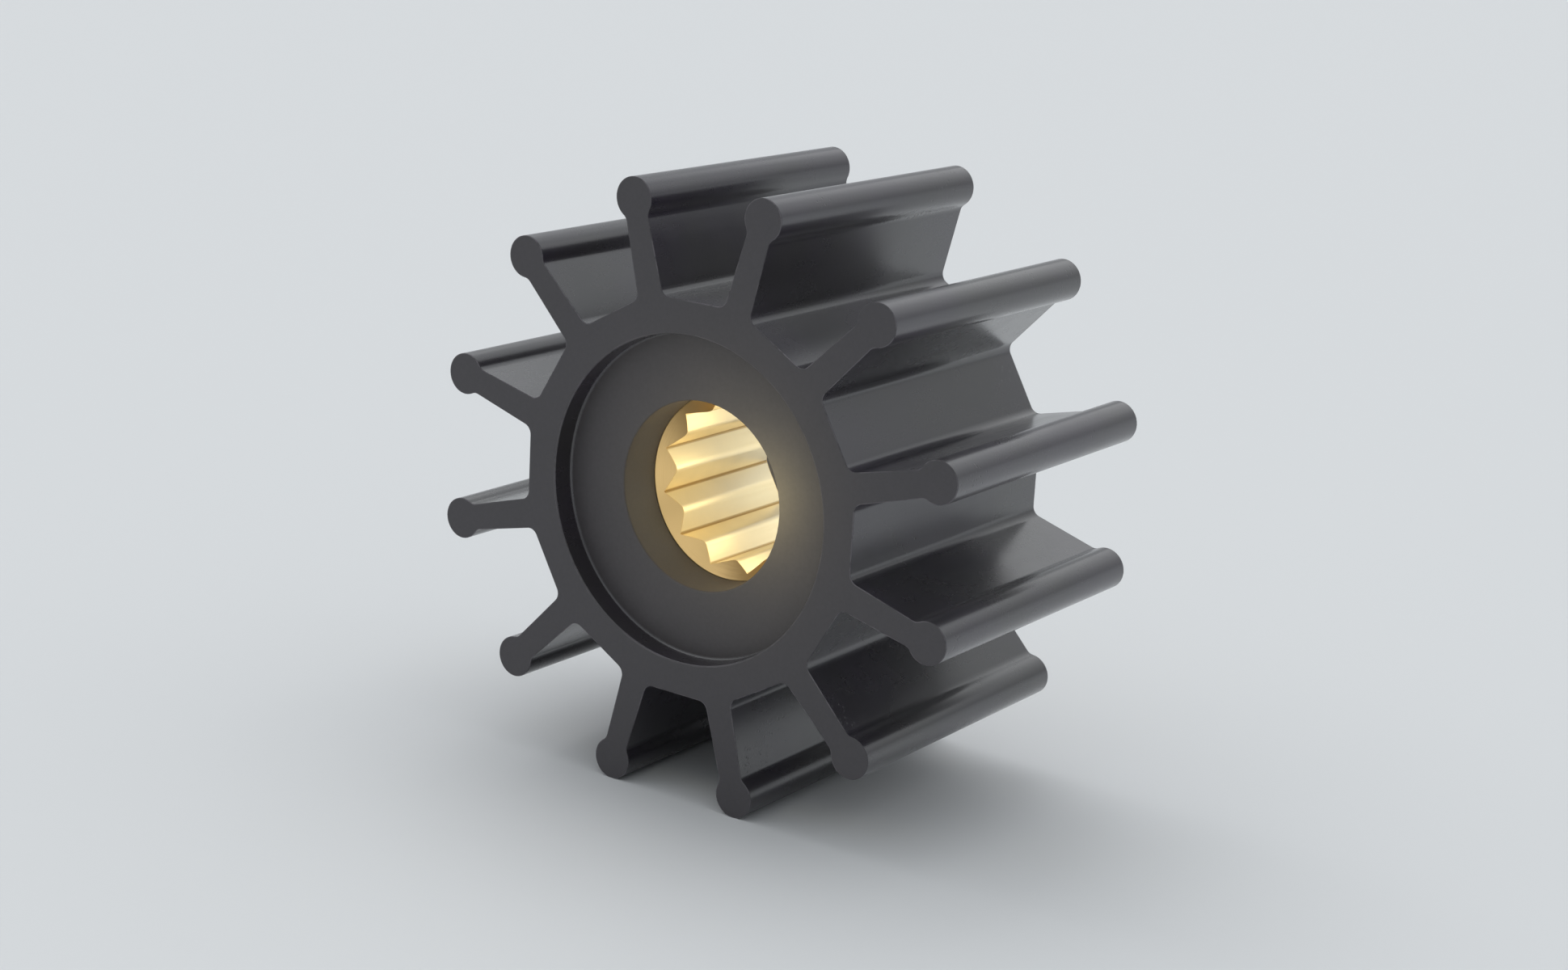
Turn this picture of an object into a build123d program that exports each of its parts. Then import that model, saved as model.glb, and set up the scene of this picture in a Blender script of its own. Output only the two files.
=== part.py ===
from build123d import *
from math import radians, sin, tan
import os

# Flexible pump impeller: a rubber body moulded onto a splined brass insert.
# Sizes are in millimetres. The shaft axis is Y, with the origin on it at mid-length, and Z is up.
# The impeller lies as it rests on a bench, on the beads of its two lowest vanes.

# Rubber body: a hub with one flat between each two vanes, and a vane on each of its corners
outside_diameter = 120.0
body_length = 63.5
vane_count = 12
bead_radius = 4.0
vane_root_thickness = 5.8
vane_tip_thickness = 4.8
hub_across_flats = 74.6
root_fillet = 2.0
bead_blend = 2.0

# Recess in each end of the body, with a fine chamfer on its rim and on the rim of the shaft hole
recess_rim = 6.3
recess_depth = 4.7
recess_corner = 0.25
rim_chamfer = 0.2

# Spline: straight-sided grooves with sharp bottoms, between teeth with rounded crests
groove_count = 12
groove_bottom_diameter = 33.6
groove_angle = 112.0
tooth_crest_rounding = 2.5

# Smooth hole from each recess to the insert, wider than the spline all round
shaft_hole_clearance = 1.2

# Brass insert, set back from both ends, with a groove and flutes outside that lock it in the rubber
insert_setback = 14.0
insert_wall = 5.2
countersink_angle = 90.0
countersink_land = 0.2
lock_groove_width = 8.0
lock_groove_depth = 1.5
flute_count = 6
flute_radius = 3.0
flute_depth = 1.2

# Worked out from the sizes above
bead_centre_radius = outside_diameter / 2 - bead_radius
first_vane_angle = 180 / vane_count
half_length = body_length / 2
recess_floor = half_length - recess_depth
recess_radius = hub_across_flats / 2 - recess_rim
groove_bottom_radius = groove_bottom_diameter / 2
shaft_hole_radius = groove_bottom_radius + shaft_hole_clearance
insert_face = half_length - insert_setback
insert_radius = groove_bottom_radius + insert_wall
countersink_radius = shaft_hole_radius - countersink_land
countersink_depth = countersink_radius / tan(radians(countersink_angle / 2))

# Outline of one vane, pointing along X: a web that tapers towards a round bead
with BuildSketch() as vane_outline:
    with BuildLine():
        Polyline(
            (hub_across_flats / 2, -vane_root_thickness / 2),
            (bead_centre_radius, -vane_tip_thickness / 2),
            (bead_centre_radius, vane_tip_thickness / 2),
            (hub_across_flats / 2, vane_root_thickness / 2),
            close=True,
        )
    make_face()
    with Locations((bead_centre_radius, 0)):
        Circle(bead_radius)
    necks = vane_outline.vertices().group_by(Axis.X)[1]
    fillet(necks, bead_blend)

with BuildSketch(Plane.XZ) as body_outline:
    RegularPolygon(hub_across_flats / 2, vane_count, major_radius=False, rotation=first_vane_angle)
    with PolarLocations(0, vane_count, start_angle=first_vane_angle):
        add(vane_outline.sketch)
    roots = body_outline.vertices().group_by(SortBy.DISTANCE)[0]
    fillet(roots, root_fillet)

# Outside form of the brass insert, which is also the cavity that it fills in the rubber
with BuildPart() as insert_form:
    with BuildSketch(Plane.XZ):
        Circle(insert_radius)
    extrude(amount=insert_face, both=True)
    with BuildSketch(Plane.XY) as lock_groove:
        with Locations((insert_radius, 0)):
            Rectangle(2 * lock_groove_depth, lock_groove_width)
    revolve(axis=Axis.Y, mode=Mode.SUBTRACT)
    with BuildSketch(Plane.XZ) as flutes:
        with PolarLocations(insert_radius + flute_radius - flute_depth, flute_count):
            Circle(flute_radius)
    extrude(amount=insert_face, both=True, mode=Mode.SUBTRACT)

# Outline of the spline: a star whose inner corners are rounded into the crests of the teeth
half_pitch = 180 / groove_count
sharp_crest_radius = (
    groove_bottom_radius * sin(radians(groove_angle / 2)) / sin(radians(groove_angle / 2 + half_pitch))
)
groove_bottoms = PolarLocations(groove_bottom_radius, groove_count, start_angle=first_vane_angle)
sharp_crests = PolarLocations(sharp_crest_radius, groove_count, start_angle=first_vane_angle + half_pitch)
with BuildSketch(Plane.XZ) as spline_outline:
    with BuildLine():
        star = []
        for bottom, crest in zip(groove_bottoms, sharp_crests):
            star += [bottom.position, crest.position]
        Polyline(*star, close=True)
    make_face()
    crests = spline_outline.vertices().group_by(SortBy.DISTANCE)[0]
    fillet(crests, tooth_crest_rounding)

# Brass insert: a sleeve with the spline broached through it and a countersink at each end
with BuildPart() as splined_insert:
    add(insert_form.part)
    extrude(spline_outline.sketch, amount=insert_face, both=True, mode=Mode.SUBTRACT)
    with BuildSketch(Plane.XY) as countersinks:
        with BuildLine():
            Polyline(
                (0, insert_face - countersink_depth),
                (0, insert_face),
                (countersink_radius, insert_face),
                close=True,
            )
        make_face()
        mirror(about=Plane.XZ)
    revolve(axis=Axis.Y, mode=Mode.SUBTRACT)

# Rubber body: the outline drawn out to its length, recessed and bored, and moulded round the insert
with BuildPart() as rubber_body:
    extrude(body_outline.sketch, amount=half_length, both=True)
    with BuildSketch(Plane.XY) as recess_and_hole:
        with BuildLine():
            Polyline(
                (0, 0),
                (shaft_hole_radius, 0),
                (shaft_hole_radius, recess_floor),
                (recess_radius, recess_floor),
                (recess_radius, half_length),
                (0, half_length),
                close=True,
            )
        make_face()
        recess_floor_corner = recess_and_hole.vertices().group_by(Axis.X)[-1].sort_by(Axis.Y)[0]
        chamfer(recess_floor_corner, recess_corner)
        mirror(about=Plane.XZ)
    revolve(axis=Axis.Y, mode=Mode.SUBTRACT)
    across_axis = rubber_body.faces().filter_by(Axis.Y).sort_by(Axis.Y)
    rims = [face.inner_wires()[0].edge() for face in across_axis[:2] + across_axis[-2:]]
    chamfer(rims, rim_chamfer)
    add(insert_form.part, mode=Mode.SUBTRACT)

rubber_body.part.label = "rubber_body"
splined_insert.part.label = "splined_insert"
os.makedirs("parts", exist_ok=True)
export_step(rubber_body.part, "parts/rubber_body.step")
export_step(splined_insert.part, "parts/splined_insert.step")
print("rubber body volume, mm3:", round(rubber_body.part.volume))
print("brass insert volume, mm3:", round(splined_insert.part.volume))
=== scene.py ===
from math import pi, radians

import bmesh
import bpy
from mathutils import Matrix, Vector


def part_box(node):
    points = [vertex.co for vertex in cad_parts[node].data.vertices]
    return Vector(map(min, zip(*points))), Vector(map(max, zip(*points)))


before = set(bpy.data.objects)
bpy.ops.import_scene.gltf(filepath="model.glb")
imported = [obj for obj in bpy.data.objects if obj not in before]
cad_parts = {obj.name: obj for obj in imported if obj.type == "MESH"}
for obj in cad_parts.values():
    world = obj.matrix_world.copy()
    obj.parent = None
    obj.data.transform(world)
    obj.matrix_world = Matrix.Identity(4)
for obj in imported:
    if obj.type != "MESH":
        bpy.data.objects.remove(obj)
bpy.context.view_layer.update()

# The rubber body: hub, twelve vanes, a recess in each end and the smooth shaft hole, all one moulding.
# Black neoprene, pressed round the insert in a steel mould. The flanks keep the mould's drawn lines and a
# low sheen, while the trimmed ends, the recesses and the shaft hole are matt.
body_low, body_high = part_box("rubber_body")
half_length = body_high.y
recess_radius = 0.031
corner_radius = 0.0004
pitted_place, pitted_size = (0.0168, 0.0105, 0.0509), (0.0016, 0.0115, 0.0012)
trimmed_tone = (0.048, 0.044, 0.049, 1)
grey_tone = (0.022, 0.0205, 0.023, 1)
violet_tone = (0.023, 0.0185, 0.029, 1)

# How far in from the end faces, or from the wall of the recess, each finish begins and is full, and how
# deep the reliefs go
trim_begins, trim_full = 0.0002, 0.00005
highlight_and_chips_begin, highlight_and_chips_full = 0.0008, 0.0004
matt_begins, matt_full = 0.0003, 0.0005
swell_depth, grain_depth = 0.00012, 0.000016


class Term:
    """One value in the nodes of a material or the world. Arithmetic on it adds Math nodes."""

    def __init__(self, socket):
        self.socket = socket

    def node(self, kind, settings, inputs, output=0):
        """An output of a new node. Its settings go in first, then the values or links of its sockets."""
        tree = self.socket.id_data
        made = tree.nodes.new("ShaderNode" + kind)
        for name, value in settings.items():
            setattr(made, name, value)
        for name, value in inputs.items():
            if isinstance(value, Term):
                tree.links.new(value.socket, made.inputs[name])
            else:
                made.inputs[name].default_value = value
        return Term(made.outputs[output])

    def math(self, operation, *others):
        return self.node("Math", {"operation": operation}, dict(enumerate((self, *others))))

    def vector(self, operation, *others, output="Vector"):
        return self.node("VectorMath", {"operation": operation}, dict(enumerate((self, *others))), output)

    def __add__(self, other):
        return self.math("ADD", other)

    def __sub__(self, other):
        return self.math("SUBTRACT", other)

    def __mul__(self, other):
        return self.math("MULTIPLY", other)

    def __rsub__(self, other):
        return self.node("Math", {"operation": "SUBTRACT"}, {0: other, 1: self})

    __radd__ = __add__
    __rmul__ = __mul__

    def ramp(self, start, end):
        """0 up to start and 1 past end, with a smooth step between them. The end may be the lower one."""
        low, high = sorted((start, end))
        values = {"Value": self, "From Min": low, "From Max": high}
        step = self.node("MapRange", {"interpolation_type": "SMOOTHSTEP"}, values)
        return step if start < end else 1 - step

    def mix(self, first, second):
        """The colour first where this value is 0, and second where it is 1."""
        factor, colour_a, colour_b, mixed_colour = 0, 6, 7, 2
        colours = {factor: self, colour_a: first, colour_b: second}
        return self.node("Mix", {"data_type": "RGBA"}, colours, mixed_colour)

    def scaled(self, factor):
        """This colour times a number."""
        return self.node("VectorMath", {"operation": "SCALE"}, {0: self, "Scale": factor})

    def axis(self, name):
        return self.node("SeparateXYZ", {}, {0: self}, output=name)

    def edge(self, radius):
        """A normal that rounds corners off, and a mask of about 1 on a corner and 0 at radius from it."""
        rounded = self.node("Bevel", {"samples": 8}, {"Radius": radius})
        flat = self.node("NewGeometry", {}, {}, output="Normal")
        facing = rounded.vector("DOT_PRODUCT", flat, output="Value")
        beside_corner, on_corner = 0.995, 0.88
        return rounded, facing.ramp(beside_corner, on_corner)

    def noise(self, scale, detail, stretch=(1, 1, 1)):
        """Noise of about 0 to 1, with scale features to the metre, drawn out along an axis by its stretch."""
        drawn = self.node("Mapping", {}, {"Vector": self, "Scale": [1 / length for length in stretch]})
        return self.node("TexNoise", {}, {"Vector": drawn, "Scale": scale, "Detail": detail})

    def dots(self, scale, size):
        """1 in small round dots, at random places and scale of them to the metre, and 0 between them."""
        solid_share = 0.6
        from_centre = self.node("TexVoronoi", {}, {"Vector": self, "Scale": scale})
        return from_centre.ramp(size, size * solid_share)


def coated(name, piece):
    """A new material in the piece's only slot: its object coordinates, and a way to set its surface."""
    material = bpy.data.materials.new(name)
    material.use_nodes = True
    piece.data.materials.clear()
    piece.data.materials.append(material)
    surface = material.node_tree.nodes["Principled BSDF"]
    place = material.node_tree.nodes.new("ShaderNodeTexCoord").outputs["Object"]

    def finish(base_normal=None, relief=(), **inputs):
        """Set the surface's inputs, and lay each relief, a height and its depth in metres, on the normal."""
        for name, value in inputs.items():
            socket = surface.inputs[name.replace("_", " ")]
            if isinstance(value, Term):
                material.node_tree.links.new(value.socket, socket)
            else:
                socket.default_value = value
        normal = base_normal
        for height, distance in relief:
            below = {} if normal is None else {"Normal": normal}
            normal = height.node("Bump", {}, {"Height": height, "Distance": distance, **below})
        if normal is not None:
            material.node_tree.links.new(normal.socket, surface.inputs["Normal"])

    return Term(place), finish


place, finish_rubber = coated("black_rubber_moulded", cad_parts["rubber_body"])
across, along, up = place.axis("X"), place.axis("Y").math("ABSOLUTE"), place.axis("Z")
from_axis = (across * across + up * up).math("SQRT")
trimmed = along.ramp(half_length - trim_begins, half_length - trim_full)
matt_and_glow_inside = from_axis.ramp(recess_radius - matt_begins, recess_radius - matt_full)
glossy = (1 - trimmed) * (1 - matt_and_glow_inside)

# Uneven colour from broad to fine, and the slow swell of a moulded face
stain = place.noise(38, detail=5).ramp(0.36, 0.64)
mottle = place.noise(85, detail=5, stretch=(1, 1.6, 1))
cloud = place.noise(300, detail=4, stretch=(1, 1.4, 1))
grain = place.noise(1500, detail=2)
swell = place.noise(60, detail=1, stretch=(1, 3, 1)) * glossy

# Lines drawn along the vanes in patches, pits both scattered and in one band, and chipped end corners that
# also carry a painted edge highlight
drawn_patch = place.noise(45, detail=3, stretch=(1, 2, 1)).ramp(0.46, 0.64) * glossy
drawn_lines = place.noise(1000, detail=3, stretch=(1, 45, 1)) * drawn_patch
scattered = place.noise(110, detail=2, stretch=(1, 1.5, 1)).ramp(0.62, 0.72) * glossy
from_pitted = place.vector("SUBTRACT", pitted_place).vector("DIVIDE", pitted_size)
pitted = from_pitted.vector("LENGTH", output="Value").ramp(1.3, 0.7)
# In the colour the pits are also darkened: painted shade inside them
pits = (place.dots(1000, 0.26) * scattered).math("MAXIMUM", place.dots(1300, 0.55) * pitted)
corner, corner_mask = place.edge(corner_radius)
edge_patches = place.noise(800, detail=3).ramp(0.30, 0.55) * place.noise(90, detail=2).ramp(0.30, 0.60)
chips_and_edge_highlight = corner_mask * edge_patches * along.ramp(half_length - highlight_and_chips_begin, half_length - highlight_and_chips_full)

# Inside the recesses and the shaft hole the colour is a tenth lighter: a painted glow of the light the brass
# throws back
tone = glossy.mix(trimmed_tone, stain.mix(grey_tone, violet_tone)).scaled(matt_and_glow_inside * 0.10 + 1)
finish_rubber(
    base_normal=corner,
    relief=[(swell, swell_depth), (grain * 0.6 + drawn_lines * 1.3 - pits * 4, grain_depth)],
    # The end corners are lightened in colour: partly chips in the trim and partly a painted edge highlight
    Base_Color=tone.scaled(mottle * 0.34 + cloud * 0.14 + grain * 0.24 + 0.64 + chips_and_edge_highlight * 2.2 - pits * 0.6),
    Roughness=0.46 - glossy * 0.31 + mottle * 0.14 + cloud * 0.10 + drawn_lines * 0.14,
    IOR=1.6,
    Coat_Weight=glossy * 0.75,
    Coat_Roughness=0.22,
)

# The insert: a brass sleeve moulded into the hub, with the spline that the pump shaft drives.
# The spline is broached from end to end, so fine lines run along it, and each mouth is countersunk on a
# lathe at 90 degrees, so the facets there are turned.
insert_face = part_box("splined_insert")[1].y
groove_bottom_radius = 0.0168
countersink_radius = 0.0178
line_begins, line_full = 0.0003, 0.0001
turned_begins, turned_full = 0.00012, 0.00005
machined_depth = 0.00002
bright_tone = (0.94, 0.82, 0.56, 1)
# The turned facets take a darker, warmer copy of the brass colour: painted shade
turned_shaded_tone = (0.77, 0.54, 0.25, 1)
groove_tone = (0.55, 0.40, 0.20, 1)
place, finish_brass = coated("brass_broached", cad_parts["splined_insert"])
across, along, up = place.axis("X"), place.axis("Y").math("ABSOLUTE"), place.axis("Z")
from_axis = (across * across + up * up).math("SQRT")
off_cone = (along - from_axis - (insert_face - countersink_radius)).math("ABSOLUTE")
turned = off_cone.ramp(turned_begins, turned_full)
broached = 1 - turned
groove_line = from_axis.ramp(groove_bottom_radius - line_begins, groove_bottom_radius - line_full)
broach_lines = place.noise(2400, detail=3, stretch=(1, 60, 1)) * broached
turning_rings = place.noise(5000, detail=2, stretch=(60, 1, 60)) * turned
tarnish = place.noise(140, detail=4)
tone = (groove_line * broached).mix(turned.mix(bright_tone, turned_shaded_tone), groove_tone)
finish_brass(
    relief=[(broach_lines + turning_rings, machined_depth)],
    Base_Color=tone.scaled(tarnish * 0.16 + 0.92),
    Metallic=1.0,
    Roughness=broach_lines * 0.14 + tarnish * 0.10 + 0.30,
)

# The floor: a plain pale sheet, matt, that runs out of view on every side. The impeller stands on it,
# on the beads of its two lowest vanes.
floor_half = 3.0
floor_tone = (0.63, 0.642, 0.652, 1)
form = bmesh.new()
bmesh.ops.create_grid(form, x_segments=1, y_segments=1, size=floor_half)
bmesh.ops.translate(form, verts=form.verts, vec=(0, 0, body_low.z))
floor_mesh = bpy.data.meshes.new("floor")
form.to_mesh(floor_mesh)
form.free()
floor = bpy.data.objects.new("floor", floor_mesh)
bpy.context.scene.collection.objects.link(floor)
place, finish_floor = coated("pale_sheet", floor)
finish_floor(Base_Color=floor_tone, Roughness=0.9, Specular_IOR_Level=0.2)

# The studio: a room that is bright overhead, a pale backdrop low down, and broad far lamps all round.
# Each lamp has its azimuth from the camera, its elevation, its spread, all in degrees, and its strength,
# which is the share of white that it alone would give a white face turned to it.
camera_azimuth = 34.879
room_tone = (0.93, 0.97, 1.0, 1)
room_low, room_high, backdrop = 0.36, 0.72, 0.68
broad_lamps = {
    "high_back": (205, 50, 50, 0.27),
    "high_right": (125, 76, 45, 0.14),
    "left": (255, 45, 50, 0.09),
    "right": (90, 42, 45, 0.05),
    "low_back": (150, 20, 35, 0.04),
    "low_back_right": (120, 25, 30, 0.010),
}


def lamp(name, kind, energy, placing, **settings):
    """The object of a new lamp, which shines down its own Z axis once placing has moved and turned it."""
    light = bpy.data.lights.new(name, kind)
    light.energy = energy
    for setting, value in settings.items():
        setattr(light, setting, value)
    made = bpy.data.objects.new(name, light)
    made.matrix_world = placing
    bpy.context.scene.collection.objects.link(made)
    return made


world = bpy.data.worlds.new("studio")
bpy.context.scene.world = world
world.use_nodes = True
room = world.node_tree.nodes["Background"]
height = Term(world.node_tree.nodes.new("ShaderNodeTexCoord").outputs["Generated"]).axis("Z")
overhead, low_band = height.ramp(0.1, 0.8), height.ramp(0.22, 0.08)
strength = overhead * (room_high - room_low) + low_band * (backdrop - room_low) + room_low
world.node_tree.links.new(strength.socket, room.inputs["Strength"])
room.inputs["Color"].default_value = room_tone
for name, (azimuth, elevation, spread, white_share) in broad_lamps.items():
    aim = Matrix.Rotation(radians(camera_azimuth + azimuth), 4, "Z")
    aim = aim @ Matrix.Rotation(radians(90 - elevation), 4, "X")
    lamp(name, "SUN", white_share * pi, aim, angle=radians(spread))

# Small warm lamps stand in for the light that the brass catches and throws back. At each mouth one lights
# the bore, and two lay the brass's colour on the rubber round it. One more hangs in the middle of the bore.
through_place, through_width, through_tone = (0.002, 0.026, -0.002), 0.026, (1.0, 0.94, 0.70)
through_powers = {"near": 0.0005, "far": 0.0009}
mouth_lamps = {
    "glow": ((0.013, 0.0375, 0.002), 0.004, 0.0125, (1.0, 0.83, 0.33)),
    "haze": ((0.008, 0.048, 0.004), 0.010, 0.0240, (1.0, 0.92, 0.50)),
}
mouth_spread, mouth_softness = radians(150), 0.8
middle_size, middle_power, middle_tone = 0.006, 0.0036, (1.0, 0.86, 0.52)
for end, side in (("near", -1), ("far", 1)):
    inwards = Matrix.Rotation(radians(-90 * side), 4, "X")
    placing = Matrix.Translation([side * step for step in through_place]) @ inwards
    disk = {"shape": "DISK", "size": through_width, "color": through_tone}
    through = lamp("through_bore_" + end, "AREA", through_powers[end], placing, **disk)
    through.visible_camera = False
    for name, ((aside, away, above), size, power, tone) in mouth_lamps.items():
        placing = Matrix.Translation((-side * aside, side * away, above)) @ inwards
        cone = {"spot_size": mouth_spread, "spot_blend": mouth_softness}
        glow = lamp(name + "_" + end, "SPOT", power, placing, shadow_soft_size=size, color=tone, **cone)
        glow.visible_camera = False
        glow.visible_glossy = False
ball = {"shadow_soft_size": middle_size, "color": middle_tone}
middle = lamp("bore_middle", "POINT", middle_power, Matrix.Identity(4), **ball)
middle.visible_camera = False

# The camera stands where the photograph was taken from: to the right of the near end, a little above it
# and slightly tilted. Its place is in the same frame as the impeller, fitted to the ends of the vanes.
camera_elevation, camera_roll = 15.216, 3.170
focal_length, sensor_width = 61.76, 36
bead_centre_radius = 0.056
distance = 9.254 * bead_centre_radius
slide, lift = -0.0033 * bead_centre_radius, -0.0497 * bead_centre_radius
turn = Matrix.Rotation(radians(camera_azimuth), 4, "Z")
turn = turn @ Matrix.Rotation(radians(90 - camera_elevation), 4, "X")
turn = turn @ Matrix.Rotation(radians(camera_roll), 4, "Z")
lens = bpy.data.cameras.new("camera")
lens.lens, lens.sensor_width = focal_length, sensor_width
lens.clip_start, lens.clip_end = 0.01, 20
camera = bpy.data.objects.new("camera", lens)
camera.matrix_world = turn @ Matrix.Translation((slide, lift, distance))
bpy.context.scene.collection.objects.link(camera)
bpy.context.scene.camera = camera

bpy.context.scene.view_settings.view_transform = "Standard"
